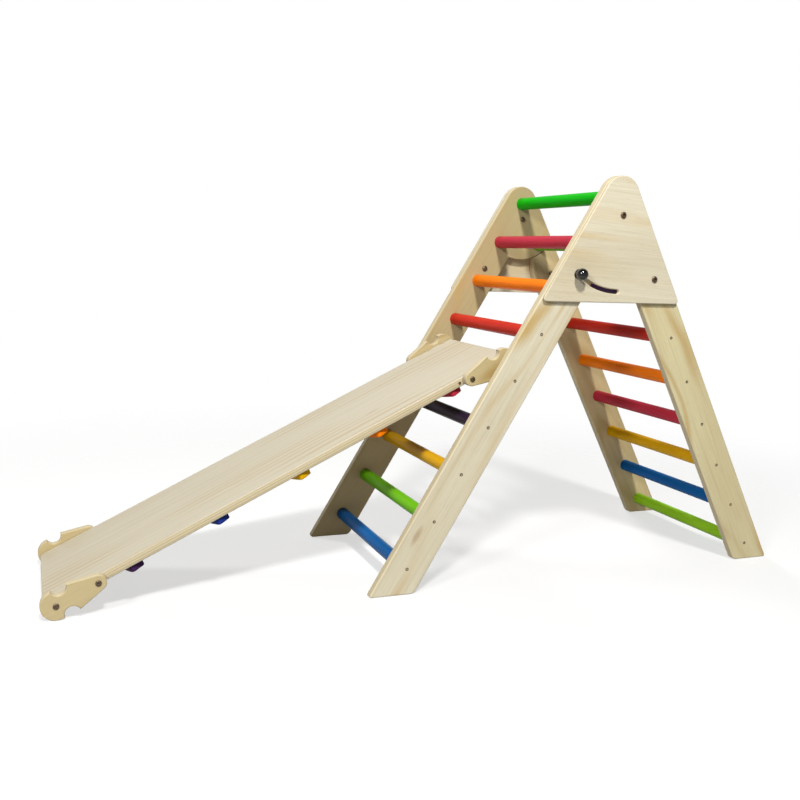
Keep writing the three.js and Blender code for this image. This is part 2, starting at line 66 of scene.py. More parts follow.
back = Vector((
    math.sin(CAMERA_TURN) * math.cos(CAMERA_RISE),
    -math.cos(CAMERA_TURN) * math.cos(CAMERA_RISE),
    math.sin(CAMERA_RISE),
))
level = Vector((0, 0, 1)).cross(back).normalized()
right = Matrix.Rotation(CAMERA_ROLL, 3, back) @ level
up = back.cross(right)
lens = bpy.data.cameras.new("camera")
lens.lens, lens.sensor_width = LENS, SENSOR_WIDTH
lens.shift_x, lens.shift_y = SHIFT_X, SHIFT_Y
camera = bpy.data.objects.new("camera", lens)
place = CROWN - Vector((0, 0, AIM_BELOW_CROWN))
place += back * CAMERA_BACK + right * CAMERA_RIGHT + up * CAMERA_UP
camera.matrix_world = Matrix.Translation(place) @ Matrix((right, up, back)).transposed().to_4x4()
bpy.context.collection.objects.link(camera)
bpy.context.scene.camera = camera
bpy.context.scene.view_settings.view_transform = "Standard"


def lamp(name, turn, rise, away, size, power, tint):
    """A square lamp that faces a point between the ladders from a direction given in degrees."""
    turn, rise = math.radians(turn), math.radians(rise)
    towards = Vector((
        math.sin(turn) * math.cos(rise), -math.cos(turn) * math.cos(rise), math.sin(rise)
    ))
    data = bpy.data.lights.new(name, "AREA")
    data.size, data.energy, data.color = size, power, tint
    made = bpy.data.objects.new(name, data)
    made.location = LAMPS_AIM + towards * away
    made.rotation_euler = towards.to_track_quat("Z", "Y").to_euler()
    bpy.context.collection.objects.link(made)


lamp("key_lamp", -14, 49, 4.2, 0.4, 158, (1.0, 0.99, 0.96))
lamp("back_lamp", -165, 54, 4.0, 0.8, 62, (1.0, 0.99, 0.97))
lamp("side_lamp", -50, 27, 4.5, 0.7, 94, (0.99, 0.99, 1.0))

# The room is a white backdrop before the camera, from steep below to a little above level. Its
# ceiling, its floor far below and the side behind the camera are dim.
AHEAD = (-math.sin(CAMERA_TURN), math.cos(CAMERA_TURN), 0.0)
room = bpy.data.worlds.new("room")
room.use_nodes = True
wiring = room.node_tree


def room_ramp(value, *stops):
    """A grey ramp over a value from -1 to 1: each stop is a place and how bright it is."""
    ramp = wiring.nodes.new("ShaderNodeValToRGB")
    spread = wiring.nodes.new("ShaderNodeMapRange")
    spread.inputs["From Min"].default_value = -1.0
    wiring.links.new(value, spread.inputs["Value"])
    wiring.links.new(spread.outputs[0], ramp.inputs["Fac"])
    while len(ramp.color_ramp.elements) < len(stops):
        ramp.color_ramp.elements.new(1.0)
    for element, (position, grey) in zip(ramp.color_ramp.elements, stops):
        element.position, element.color = (position + 1) / 2, (grey, grey, grey, 1)
    return ramp.outputs["Color"]


sight = wiring.nodes.new("ShaderNodeTexCoord").outputs["Generated"]
heights = wiring.nodes.new("ShaderNodeSeparateXYZ")
facing_ahead = wiring.nodes.new("ShaderNodeVectorMath")
facing_ahead.operation = "DOT_PRODUCT"
facing_ahead.inputs[1].default_value = AHEAD
shade_both = wiring.nodes.new("ShaderNodeVectorMath")
shade_both.operation = "MULTIPLY"
wiring.links.new(sight, heights.inputs[0])
wiring.links.new(sight, facing_ahead.inputs[0])
by_height = room_ramp(heights.outputs["Z"], (-0.80, 0.3), (-0.60, 1.0), (0.28, 1.0), (0.50, 0.12))
by_side = room_ramp(facing_ahead.outputs["Value"], (0.45, 0.25), (0.72, 1.0))
wiring.links.new(by_height, shade_both.inputs[0])
wiring.links.new(by_side, shade_both.inputs[1])
wiring.links.new(shade_both.outputs[0], wiring.nodes["Background"].inputs["Color"])
wiring.nodes["Background"].inputs["Strength"].default_value = 1.0
bpy.context.scene.world = room


def shape(name, points, faces, flat=0, crease=40):
    """A mesh object of the given points and faces, smooth but for edges that turn further than
    `crease` degrees and for the last `flat` faces."""
    mesh = bpy.data.meshes.new(name)
    mesh.from_pydata(np.asarray(points).tolist(), [], [list(face) for face in faces])
    smooth = np.ones(len(mesh.polygons), bool)
    if flat:
        smooth[-flat:] = False
    mesh.polygons.foreach_set("use_smooth", smooth)
    mesh.set_sharp_from_angle(angle=math.radians(crease))
    made = bpy.data.objects.new(name, mesh)
    bpy.context.collection.objects.link(made)
    return made


class Amount:
    """A number or a vector of a finish, as it comes out of a node. Arithmetic adds Math nodes."""

    def __init__(self, finish, socket):
        self.finish, self.socket = finish, socket

    def maths(self, operation, *others):
        inputs = dict(enumerate((self, *others)))
        return self.finish.node("ShaderNodeMath", {"operation": operation}, inputs)

    def __add__(self, other):
        return self.maths("ADD", other)

    def __sub__(self, other):
        return self.maths("SUBTRACT", other)

    def __rsub__(self, other):
        return self.maths("MULTIPLY_ADD", -1.0, other)

    def __mul__(self, other):
        return self.maths("MULTIPLY", other)

    def __truediv__(self, other):
        return self.maths("DIVIDE", other)

    def __pow__(self, other):
        return self.maths("POWER", other)

    def __abs__(self):
        return self.maths("ABSOLUTE")

    __radd__, __rmul__ = __add__, __mul__


class Finish:
    """A material in the making, with one shader."""

    def __init__(self, name, **constants):
        self.material = bpy.data.materials.new(name)
        self.material.use_nodes = True
        self.tree = self.material.node_tree
        self.shader = self.tree.nodes["Principled BSDF"]
        for socket, value in constants.items():
            self.shader.inputs[socket.replace("_", " ")].default_value = value

    def node(self, kind, settings=None, inputs=None, output=0):
        """Adds a node: its settings first, then its inputs as plain values or as Amounts."""
        made = self.tree.nodes.new(kind)
        for setting, value in (settings or {}).items():
            if setting == "stops":
                while len(made.color_ramp.elements) < len(value):
                    made.color_ramp.elements.new(1.0)
                for stop, (position, colour) in zip(made.color_ramp.elements, value):
                    stop.position, stop.color = position, (*colour, 1)
            else:
                setattr(made, setting, value)
        for socket, value in (inputs or {}).items():
            self.feed(made.inputs[socket], value)
        return Amount(self, made.outputs[output])

    def feed(self, socket, value):
        if isinstance(value, Amount):
            self.tree.links.new(value.socket, socket)
        else:
            socket.default_value = value

    def set(self, socket, value):
        self.feed(self.shader.inputs[socket], value)

    def step(self, value, low, high):
        """0 below low, 1 above high, and an even curve between."""
        return self.node(
            "ShaderNodeMapRange", {"interpolation_type": "SMOOTHSTEP"},
            {"Value": value, "From Min": low, "From Max": high},
        )

    def noise(self, at, scale, detail=2.0):
        return self.node(
            "ShaderNodeTexNoise", {}, {"Vector": at, "Scale": scale, "Detail": detail}
        )

    def mix(self, share, first, second):
        """A blend of two colours, each a tuple or an Amount."""
        first, second = (c if isinstance(c, Amount) else (*c, 1) for c in (first, second))
        return self.node(
            "ShaderNodeMix", {"data_type": "RGBA"}, {0: share, 6: first, 7: second}, output=2
        )

    def dot(self, vector, axis):
        return self.node(
            "ShaderNodeVectorMath", {"operation": "DOT_PRODUCT"},
            {0: vector, 1: tuple(axis)}, output="Value",
        )

    def vector(self, x, y, z):
        return self.node("ShaderNodeCombineXYZ", {}, {"X": x, "Y": y, "Z": z})

    def bump(self, height, distance, strength=1.0):
        self.set("Normal", self.node(
            "ShaderNodeBump", {},
            {"Height": height, "Distance": distance, "Strength": strength},
        ))


def tone(red, green, blue):
    """A colour of 0 to 255 per channel, as a shader takes it."""
    share = np.array([red, green, blue]) / 255
    return tuple(np.where(share < 0.04045, share / 12.92, ((share + 0.055) / 1.055) ** 2.4))


# The floor is half see-through and fades out, so that it shows little more than soft shadows.
FLOOR_REACH, FLOOR_SIDES, FLOOR_DROP = 3.4, 96, 0.0004
FLOOR_OPACITY, FADE_START, FADE_END = 0.4, 0.8, 2.4
around = np.linspace(0, 2 * math.pi, FLOOR_SIDES, endpoint=False)
rim = np.stack([np.cos(around), np.sin(around), np.zeros(FLOOR_SIDES)], 1) * FLOOR_REACH
floor = shape("floor", rim - (0, 0, FLOOR_DROP), [range(FLOOR_SIDES)], flat=1)
floor_paper = Finish("floor_paper", Base_Color=(0.93, 0.93, 0.93, 1), Specular_IOR_Level=0.1)
floor_at = floor_paper.node("ShaderNodeTexCoord", output="Object")
floor_paper.set("Roughness", floor_paper.noise(floor_at, 3.0) * 0.1 + 0.7)
from_middle = floor_paper.node(
    "ShaderNodeVectorMath", {"operation": "LENGTH"}, {0: floor_at}, output="Value"
)
fade = floor_paper.step(from_middle, FADE_START, FADE_END)
floor_paper.set("Alpha", (1 - fade) * FLOOR_OPACITY)
floor.data.materials.append(floor_paper.material)


# ---- Stiles
# Four planks of pine-faced plywood, 20 mm thick. The front pair widen into heads, which carry the
# top rung and the uppermost rear rung; the rear pair end in a hollow that turns round those heads.
# Their edges are rounded with a router and the rungs sit in blind sockets in their inner faces.

FRONT_LEAN, REAR_LEAN = math.radians(30.25), math.radians(28.25)
ALONG_FRONT = Vector((math.sin(FRONT_LEAN), 0, math.cos(FRONT_LEAN)))
ALONG_REAR = Vector((-math.sin(REAR_LEAN), 0, math.cos(REAR_LEAN)))
STILE_ROUND = 0.0028
SIDES = {"left": -1, "right": 1}
OUTER_PINE = {"front": tone(218, 211, 187), "rear": tone(220, 210, 168)}
# The right-hand stiles, on the far side, take tones of their own, browner than the near ones:
# partly the plywood's browner back face, partly painted shade.
FAR_SIDE_PINE_AND_SHADE = {"front": tone(190, 173, 131), "rear": tone(230, 208, 158)}
PINE_BAND = tone(196, 168, 110)
PINE_SHADE = tone(172, 154, 112)
PLY_LAYER = 0.0029

# Tolerances for reading the CAD meshes: how straight a face looks along the outward axis, how near
# two levels or two outlines' centres are to count as one, and how large an outline is no hole.
FACES_OUT = 0.999
SAME_LEVEL = 2e-5
SAME_CENTRE = 2e-4
LARGER_THAN_HOLES = 0.07
LIP = 0.0005  # width of the flat ring inside a rounded edge


def node_arrays(node):
    """A CAD node's points and triangles, with the points that share a place made one."""
    mesh = frame["nodes"][node].data
    points = np.empty(len(mesh.vertices) * 3)
    mesh.vertices.foreach_get("co", points)
    mesh.calc_loop_triangles()
    corners = np.empty(len(mesh.loop_triangles) * 3, int)
    mesh.loop_triangles.foreach_get("vertices", corners)
    points = points.reshape(-1, 3)
    places, first, merged = np.unique(
        np.round(points, 6), axis=0, return_index=True, return_inverse=True
    )
    return points[first], merged.reshape(-1)[corners].reshape(-1, 3)


def outlines(triangles, count):
    """The closed outlines of a patch of triangles: its edges that no second triangle uses. Each
    is followed in steps that double, so n points take log2(n) steps."""
    ahead = triangles.reshape(-1)
    behind = np.roll(triangles, -1, axis=1).reshape(-1)
    single = ~np.isin(ahead * count + behind, behind * count + ahead)
    after = np.full(count, -1)
    after[ahead[single]] = behind[single]
    left, found = np.unique(ahead[single]), []
    while left.size:
        path, jump = left[:1], after
        home = np.array([], int)
        while not home.size:
            path, jump = np.concatenate([path, jump[path]]), jump[jump]
            home = np.flatnonzero(path[1:] == left[0])
        found.append(path[: home[0] + 1])
        left = np.setdiff1d(left, found[-1])
    return found


def slab(node, out, top_round, bottom_round, hole_round=0.0003):
    """The points and faces of a flat piece with rounded edges. Each outline of the CAD node's face
    towards `out` is carried through its thickness along a quarter circle, a straight wall and
    another quarter circle; the wall moves in by radius * (1 - sin t) where its height falls by
    radius * (1 - cos t). Blind sockets keep their floors, and flat caps close both sides."""
    points, triangles = node_arrays(node)
    out = np.array(out, float)
    first = np.cross((0, 1, 0) if abs(out[1]) < 0.9 else (0, 0, 1), out)
    first /= np.linalg.norm(first)
    second = np.cross(out, first)
    flat, height = points @ np.stack([first, second], 1), points @ out
    a, b, c = (points[triangles[:, k]] for k in range(3))
    normal = np.cross(b - a, c - a)
    facing = normal @ out / np.maximum(np.linalg.norm(normal, axis=1), 1e-12)
    level = height[triangles].mean(1)
    high, low = height.max(), height.min()

    def rims(sign, at):
        patch = triangles[(facing * sign > FACES_OUT) & (abs(level - at) < SAME_LEVEL)]
        return [path[::sign] for path in outlines(patch, len(points))]

    def centre(path):
        return (flat[path].max(0) + flat[path].min(0)) / 2

    def twin(path, others):
        return any(np.linalg.norm(centre(path) - centre(other)) < SAME_CENTRE for other in others)

    def mitre(path):
        run = np.roll(flat[path], -1, 0) - flat[path]
        side = np.stack([-run[:, 1], run[:, 0]], 1) / np.linalg.norm(run, axis=1)[:, None]
        before = np.roll(side, 1, 0)
        return (side + before) / np.maximum(1 + (side * before).sum(1), 0.4)[:, None]

    made, faces, sockets, used = [], [], [], 0
    cap_loops = {high: [], low: []}

    def carry(path, insets, heights):
        """Adds one wall: the outline at each inset and height, from the top down."""
        nonlocal used
        rows = flat[path][None] + mitre(path)[None] * insets[:, None, None]
        tall = np.broadcast_to(heights[:, None, None], (*rows.shape[:2], 1))
        made.append(np.concatenate([rows, tall], 2).reshape(-1, 3))
        n = len(path)
        index = used + np.arange(len(heights) * n).reshape(-1, n)
        turn = np.roll(index, -1, 1)
        faces.extend(np.stack(
            [index[:-1], index[1:], turn[1:], turn[:-1]], -1
        ).reshape(-1, 4).tolist())
        used += index.size
        return index

    tops, bottoms = rims(1, high), rims(-1, low)
    quarter = np.linspace(0, math.pi / 2, 5)
    for path in tops:
        if not twin(path, bottoms):
            continue
        outer = np.ptp(flat[path], axis=0).max() > LARGER_THAN_HOLES
        r, s = (top_round, bottom_round) if outer else (hole_round, hole_round)
        insets = np.concatenate([
            [r + LIP], r * (1 - np.sin(quarter)), s * (1 - np.sin(quarter[::-1])), [s + LIP]
        ])
        heights = np.concatenate([
            [high], high - r * (1 - np.cos(quarter)), low + s * (1 - np.cos(quarter[::-1])), [low]
        ])
        index = carry(path, insets, heights)
        cap_loops[high].append(index[0])
        cap_loops[low].append(index[-1])
    for sign, rim, others, at in ((1, tops, bottoms, high), (-1, bottoms, tops, low)):
        for path in rim:
            if twin(path, others):
                continue
            floor_levels = level[(facing * sign > FACES_OUT) & (abs(level - at) > SAME_LEVEL)]
            deep = floor_levels[abs(floor_levels - at).argmin()]
            if sign > 0:
                index = carry(path, np.zeros(2), np.array([high, deep]))
                cap_loops[high].append(index[0])
                sockets.append((1, index[-1][::-1]))
            else:
                index = carry(path, np.zeros(2), np.array([deep, low]))
                cap_loops[low].append(index[-1])
                sockets.append((-1, index[0][::-1]))
    made = np.concatenate(made)
    flats = []

    def cap(loops, sign):
        """Fills between loops with triangles that face along out times sign."""
        order = np.concatenate(loops)
        corners = np.array(tessellate_polygon(
            [[Vector((*made[i][:2], 0)) for i in loop] for loop in loops]
        ))
        tri = order[corners]
        p, q, r = (made[tri[:, k]][:, :2] for k in range(3))
        area = np.cross(q - p, r - p) * sign
        tri[area < 0] = tri[area < 0][:, ::-1]
        flats.extend(tri[abs(area) > 1e-14].tolist())

    cap(cap_loops[high], 1)
    cap(cap_loops[low], -1)
    for sign, loop in sockets:
        cap([loop], sign)
    world = made[:, :1] * first + made[:, 1:2] * second + made[:, 2:] * out
    return world, faces + flats, len(flats)


def timber(name, centre, along, out, seed, pale, band, bands, depth, layer=PLY_LAYER, shade=0.0,
           figure=1.0):
    """Lacquered plywood. Its face is a slice through growth rings: sine waves of the distance
    across the grain, bent by a slow noise, so that they close into flames. Fine fibres and pores
    run along the grain, and the edges show the layers of veneer."""
    ply = Finish(name, IOR=1.48)
    at = ply.node(
        "ShaderNodeVectorMath", {"operation": "SUBTRACT"},
        {0: ply.node("ShaderNodeTexCoord", output="Object"), 1: tuple(centre)},
    )
    along, out = Vector(along).normalized(), Vector(out).normalized()
    length, thick = ply.dot(at, along), ply.dot(at, out)
    across = ply.dot(at, out.cross(along))
    slow = ply.noise(ply.vector(length * 1.5 + seed, across * 6.5, thick * 3 + seed), 1.0, 1.5)
    sway = ply.noise(ply.vector(length * 6 + seed, across * 14, seed), 1.0, 2.0)
    ring = ((across * bands + slow * depth + sway * 0.5) * math.tau).maths("SINE") * 0.5 + 0.5
    patch = ply.noise(ply.vector(length * 2.3, across * 8, seed * 1.7), 1.0, 1.0)
    strong = ply.step(patch, 0.42, 0.68)
    late = (ring ** 3.0) * (strong * 0.85 + 0.15) * figure
    fibre = ply.noise(ply.vector(length * 9, across * 420, thick * 420 + seed), 1.0, 3.0)
    pore = ply.step(
        ply.noise(ply.vector(length * 45, across * 1300, thick * 900), 1.0, 1.0), 0.66, 0.74
    )
    knot = ply.node(
        "ShaderNodeTexVoronoi", {},
        {"Vector": ply.vector(length * 3.1 + seed, across * 10, seed), "Scale": 1.0},
    )
    speck = 1 - ply.step(knot, 0.03, 0.11)
    wash = ply.noise(ply.vector(length * 1.1 + seed, across * 3.5, seed), 1.0, 2.0)
    streak = ply.noise(ply.vector(length * 3.5 + seed, across * 120, seed), 1.0, 2.0)
    face = ply.mix(late, pale, band)
    face = ply.mix(ply.step(streak, 0.5, 0.72) * 0.22 * figure, face, PINE_SHADE)
    face = ply.mix(ply.step(wash, 0.45, 0.75) * 0.35 + shade, face, PINE_SHADE)
    face = ply.mix(speck * 0.55, face, tone(150, 114, 66))
    face = ply.mix((fibre - 0.5) * 0.5 + 0.14, face, tone(164, 142, 102))
    face = ply.mix(pore * 0.22, face, tone(132, 104, 66))
    normal = ply.node("ShaderNodeTexCoord", output="Normal")
    edge = 1 - ply.step(abs(ply.dot(normal, out)), 0.35, 0.75)
    veneer = ((thick / layer) * math.pi).maths("SINE")
    end = ply.noise(ply.vector(length * 240, across * 240, thick * 300), 1.0, 3.0)
    dark_layer = ply.step(veneer, -0.25, 0.25)
    side = ply.mix(dark_layer * 0.4, tone(208, 196, 162), tone(160, 136, 96))
    side = ply.mix(end * 0.2, side, tone(128, 104, 70))
    ply.set("Base Color", ply.mix(edge, face, side))
    ply.set("Roughness", fibre * 0.12 + late * -0.08 + edge * 0.14 + 0.42)
    ply.bump(fibre * 0.5 + late * 0.25 - pore * 0.6 + edge * dark_layer * 0.8, 0.00022, 0.6)
    return ply.material


def settle(made, material, body, slot_name, *nodes):
    """Gives a piece its material, hangs it on its body and hides the CAD nodes it stands for."""
    made.data.materials.append(material)
    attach(made, body)
    if nodes:
        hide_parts(*nodes)
    return made


def middle(node):
    low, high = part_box(node)
    return (Vector(low) + Vector(high)) / 2


for side, sign in SIDES.items():
    for ladder, along, seed, rings in (
        ("front", ALONG_FRONT, 3.1, 20.0), ("rear", ALONG_REAR, 7.4, 12.0)
    ):
        node = f"{ladder}_stile_{side}"
        points, faces, flat = slab(node, (0, sign, 0), STILE_ROUND, STILE_ROUND)
        stile = shape(f"{node}_ply", points, faces, flat)
        # The far (right-hand) stiles are also darkened evenly by shade=0.22 towards PINE_SHADE:
        # painted shade of the near parts.
        stile_ply = timber(
            f"{node}_pine", middle(node), along, (0, 1, 0), seed + 11.3 * sign,
            FAR_SIDE_PINE_AND_SHADE[ladder] if side == "right" else OUTER_PINE[ladder], PINE_BAND, rings,
            9.0 if ladder == "rear" else 6.5, shade=0.0 if side == "left" else 0.22,
        )
        settle(stile, stile_ply, f"{ladder}_ladder", "timber", node)


# ---- Gusset plates
# Two triangles of 8 mm plywood, bolted and glued to the rear stiles. They turn on the pivot bolts
# and each has a curved slot for the clamp stud. Their face grain runs level.

PLATE_OUTER_ROUND, PLATE_INNER_ROUND, SLOT_ROUND, PLATE_LAYER = 0.0022, 0.0012, 0.0006, 0.0016
for side, sign in SIDES.items():
    node = f"gusset_plate_{side}"
    points, faces, flat = slab(
        node, (0, sign, 0), PLATE_OUTER_ROUND, PLATE_INNER_ROUND, SLOT_ROUND
    )
    plate = shape(f"{node}_ply", points, faces, flat)
    plate_ply = timber(
        f"{node}_pine", middle(node), (1, 0, -0.05), (0, 1, 0), 19.0 + 5.7 * sign,
        tone(224, 217, 194), tone(214, 184, 124), 13.0, 3.4, layer=PLATE_LAYER, figure=0.55,
    )
    settle(plate, plate_ply, "rear_ladder", "timber", node)


# ---- Rungs
# Hardwood dowels, 30 mm thick, dipped in semi-gloss paint of a different colour on each step. The
# paint lies thin enough to show the grain as fine lines along the dowel.

RUNG_PAINTS = {
    "paint_bright_green": tone(4, 168, 6),
    "paint_rose": tone(176, 44, 62),
    "paint_orange": tone(236, 120, 8),
    "paint_red": tone(186, 40, 24),
    "paint_teal_green": tone(22, 148, 84),
    # The purple is darker than the paint itself: partly painted shade, the board's shadow on the
    # purple rung.
    "paint_purple": tone(58, 32, 70),
    "paint_yellow": tone(206, 156, 4),
    "paint_lime": tone(104, 178, 12),
    "paint_blue": tone(10, 84, 146),
    "paint_deep_blue": tone(30, 48, 124),
}
# front_rung_6 is painted nearly black: painted shade, the board's shadow on it. rear_rung_8 has a
# lighter lime of its own.
OWN_TINTS_AND_PAINTED_SHADE = {"front_rung_6": tone(40, 26, 46), "rear_rung_8": tone(142, 196, 36)}
slot_of = {part["node"]: part["material_slot"] for part in frame["record"]["subparts"]}


def turned(centre, axis, rows, segments=48, star=None):
    """The points and faces of a turned piece: each row gives a place along the axis, a radius, and
    how far the ring takes the shape of star(angle) instead of a circle. The first and last rows
    are poles, at radius 0."""
    rows = np.array([(*row, 0.0)[:3] for row in rows], float)
    axis = np.array(axis, float)
    first = np.cross(axis, (0, 0, 1) if abs(axis[2]) < 0.9 else (1, 0, 0))
    first /= np.linalg.norm(first)
    second = np.cross(axis, first)
    angle = np.linspace(0, 2 * math.pi, segments, endpoint=False)
    wheel = np.cos(angle)[:, None] * first + np.sin(angle)[:, None] * second
    form = star(angle) if star else np.ones(segments)
    reach = rows[1:-1, 1, None] * (1 + rows[1:-1, 2, None] * (form - 1))
    rings = reach[..., None] * wheel + rows[1:-1, 0, None, None] * axis
    poles = rows[[0, -1], 0, None] * axis
    points = np.concatenate([rings.reshape(-1, 3), poles]) + np.array(centre)
    index = np.arange((len(rows) - 2) * segments).reshape(-1, segments)
    turn = np.roll(index, -1, 1)
    walls = np.stack([index[:-1], turn[:-1], turn[1:], index[1:]], -1).reshape(-1, 4)
    start, end = index.size, index.size + 1
    fans = [[start, t, i] for i, t in zip(index[0], turn[0])]
    fans += [[end, i, t] for i, t in zip(index[-1], turn[-1])]
    return points, walls.tolist() + fans


def paint(name, colour, centre, along, grain=1.0):
    """Semi-gloss paint on wood: a slow change of depth, the grain as faint lines, and a fine ripple
    that breaks up the highlight."""
    coat = Finish(name, IOR=1.38, Specular_IOR_Level=0.08)
    at = coat.node(
        "ShaderNodeVectorMath", {"operation": "SUBTRACT"},
        {0: coat.node("ShaderNodeTexCoord", output="Object"), 1: tuple(centre)},
    )
    along = Vector(along).normalized()
    other = along.orthogonal().normalized()
    length, across = coat.dot(at, along), coat.dot(at, other)
    over = coat.dot(at, along.cross(other))
    line = coat.noise(coat.vector(length * 14, across * 500, over * 500), 1.0, 2.0)
    depth = coat.noise(coat.vector(length * 8, across * 30, over * 30), 1.0, 2.0)
    ripple = coat.noise(at, 260.0, 1.0)
    deep = tuple(0.62 * c for c in colour)
    light = tuple(c * 1.15 for c in colour)
    skin = coat.mix(coat.step(depth, 0.3, 0.7), colour, light)
    coat.set("Base Color", coat.mix(coat.step(line, 0.45, 0.8) * 0.4 * grain, skin, deep))
    coat.set("Roughness", line * 0.14 + depth * 0.08 + 0.26)
    coat.bump(line * 0.6 * grain + ripple * 0.4, 0.00012, 0.5)
    return coat.material


RUNG_END = 0.0015  # chamfer that leads the dowel into its socket
GRAIN_STEP = 0.03  # how far each rung's grain is moved on from the last one's
for ladder, count in (("front", 9), ("rear", 8)):
    for number in range(1, count + 1):
        node = f"{ladder}_rung_{number}"
        low, high = (Vector(corner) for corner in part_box(node))
        centre, radius, half = (low + high) / 2, (high.x - low.x) / 2, (high.y - low.y) / 2
        # The CAD dowel has flat facets, so its box can be a little narrower than the dowel.
        rows = [(-half, 0), (-half, radius - RUNG_END), (-half + RUNG_END, radius),
                (half - RUNG_END, radius), (half, radius - RUNG_END), (half, 0)]
        rung = shape(f"{node}_dowel", *turned(centre, (0, 1, 0), rows, 64), crease=30)
        # A few rungs take a tint of their own; front_rung_6's is painted shade.
        colour = OWN_TINTS_AND_PAINTED_SHADE.get(node, RUNG_PAINTS[slot_of[node]])
        grain_from = centre + Vector((0, GRAIN_STEP * number, 0))
        rung_paint = paint(f"{node}_paint", colour, grain_from, (0, 1, 0))
        body = "rear_ladder" if ladder == "rear" and number > 1 else "front_ladder"
        settle(rung, rung_paint, body, slot_of[node], node)


# ---- Rung screws
# One bronze-plated wood screw through the outer face of a stile into each end of a rung. The heads
# are countersunk and stand proud by less than the gap behind the gusset plates.

SCREW_PROUD = 0.0003
RUNG_SCREW_RADIUS = 0.0036
STILE_FACE = 0.233
SCREW_SINK = 0.003


def cross_slot(angle):
    """A cross: long towards four sides and short between them."""
    return 0.42 + 0.58 * np.abs(np.cos(2 * angle)) ** 3


def hexagon(angle):
    """The outline of a hexagon whose corners lie on the circle."""
    part = (angle + math.pi / 6) % (math.pi / 3) - math.pi / 6
    return math.cos(math.pi / 6) / np.cos(part)


def many(points, faces, places):
    """One mesh of a small part that is repeated at each of the places."""
    places = np.array(places, float)
    every = (np.array(points)[None] + places[:, None]).reshape(-1, 3)
    size = len(points)
    copies = [[i + size * k for i in face] for k in range(len(places)) for face in faces]
    return every, copies


def plated_steel(name, colour, rough):
    """Plated steel: dark, with a fine brushed grain and specks where the plating is thin."""
    plate = Finish(name, Metallic=1.0)
    at = plate.node("ShaderNodeTexCoord", output="Object")
    speck = plate.noise(at, 900.0, 3.0)
    bloom = plate.noise(at, 140.0, 2.0)
    lighter = tuple(min(1.0, 1.7 * c) for c in colour)
    plate.set("Base Color", plate.mix(plate.step(speck, 0.5, 0.75) * 0.6, colour, lighter))
    plate.set("Roughness", bloom * 0.25 + rough)
    plate.bump(speck, 0.00006, 0.5)
    return plate.material


BRONZE_PLATE = plated_steel("bronze_plated_steel", tone(124, 108, 90), 0.34)


def screw_head(radius, proud, sink):
    """Rows of a countersunk head from its buried cone to the floor of its cross slot."""
    return [(-sink, 0), (-sink, radius * 0.45), (-0.0002, radius), (proud * 0.6, radius * 0.96),
            (proud, radius * 0.8), (proud, radius * 0.62), (proud, radius * 0.60, 1.0),
            (proud - 0.0006, radius * 0.55, 1.0), (proud - 0.0016, radius * 0.28, 1.0),
            (proud - 0.0018, 0)]


for ladder, body_nodes, own in (
    ("front", [f"front_rung_{n}" for n in range(1, 10)] + ["rear_rung_1"], "front_ladder"),
    ("rear", [f"rear_rung_{n}" for n in range(2, 9)], "rear_ladder"),
):
    for side, sign in SIDES.items():
        places = [(middle(n).x, sign * STILE_FACE, middle(n).z) for n in body_nodes]
        one = turned((0, 0, 0), (0, sign, 0),
                     screw_head(RUNG_SCREW_RADIUS, SCREW_PROUD, SCREW_SINK), 32, cross_slot)
        screws = shape(f"{ladder}_rung_screws_{side}", *many(*one, places), crease=35)
        settle(screws, BRONZE_PLATE, own, "steel")


# ---- Pivot bolts and plate bolts
# Furniture bolts with domed heads and hexagon sockets, drawn up by cap nuts on the inside. The
# pivot bolts carry the turning of the ladders; the plate bolts hold the plates to the rear stiles.

BOLT_SHANK = 0.004
BOLT_HEAD = 0.0036


def ends(node, sign):
    """A node's middle in the side view, and where it starts and stops along the outward axis."""
    low, high = (Vector(corner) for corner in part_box(node))
    inner, outer = (low.y, high.y) if sign > 0 else (-high.y, -low.y)
    return (low.x + high.x) / 2, (low.z + high.z) / 2, inner, outer, (high.x - low.x) / 2


def dome(radius, foot, rise, count=6):
    """Rows of a low dome, from its rim to near its middle."""
    t = np.linspace(0.15, math.pi / 2 * 0.62, count)
    return [(foot + rise * math.sin(a) ** 0.8, radius * math.cos(a) ** 0.55) for a in t]


for kind in ("pivot", "plate"):
    for side, sign in SIDES.items():
        x, z, inner, outer, radius = ends(f"{kind}_bolt_{side}", sign)
        seat = outer - BOLT_HEAD
        crown_rows = dome(radius, seat + 0.0008, BOLT_HEAD - 0.0008)
        top = outer - 0.0001
        rows = [(inner, 0), (inner, BOLT_SHANK - 0.0006), (inner + 0.0006, BOLT_SHANK),
                (seat, BOLT_SHANK), (seat, radius - 0.0004), (seat + 0.0004, radius), *crown_rows,
                (top, 0.0031), (top, 0.0030, 1.0), (top - 0.0002, 0.0028, 1.0),
                (top - 0.0026, 0.0027, 1.0), (top - 0.0030, 0)]
        bolt = shape(f"{kind}_bolt_{side}_turned",
                     *turned((x, 0, z), (0, sign, 0), rows, 48, hexagon), crease=35)
        settle(bolt, BRONZE_PLATE, "rear_ladder", "steel", f"{kind}_bolt_{side}")

        x, z, inner, outer, radius = ends(f"{kind}_nut_{side}", sign)
        rows = [(inner, 0), (inner + 0.0001, radius * 0.30), (inner + 0.0007, radius * 0.62),
                (inner + 0.0018, radius * 0.80), (inner + 0.0026, radius * 0.86),
                (inner + 0.0027, radius * 0.93, 1.0), (inner + 0.0031, radius, 1.0),
                (outer - 0.0004, radius, 1.0), (outer, radius * 0.95, 1.0), (outer, BOLT_SHANK),
                (outer - 0.0001, 0)]
        nut = shape(f"{kind}_nut_{side}_turned",
                    *turned((x, 0, z), (0, sign, 0), rows, 48, hexagon), crease=35)
        settle(nut, BRONZE_PLATE, "rear_ladder", "steel", f"{kind}_nut_{side}")


# ---- Clamp studs, washers and knobs
# A coach bolt through each front stile and the slot of its plate. Its low round head is inside; on
# the outside a washer and a black ball knob of phenolic resin press the plate to the stile.

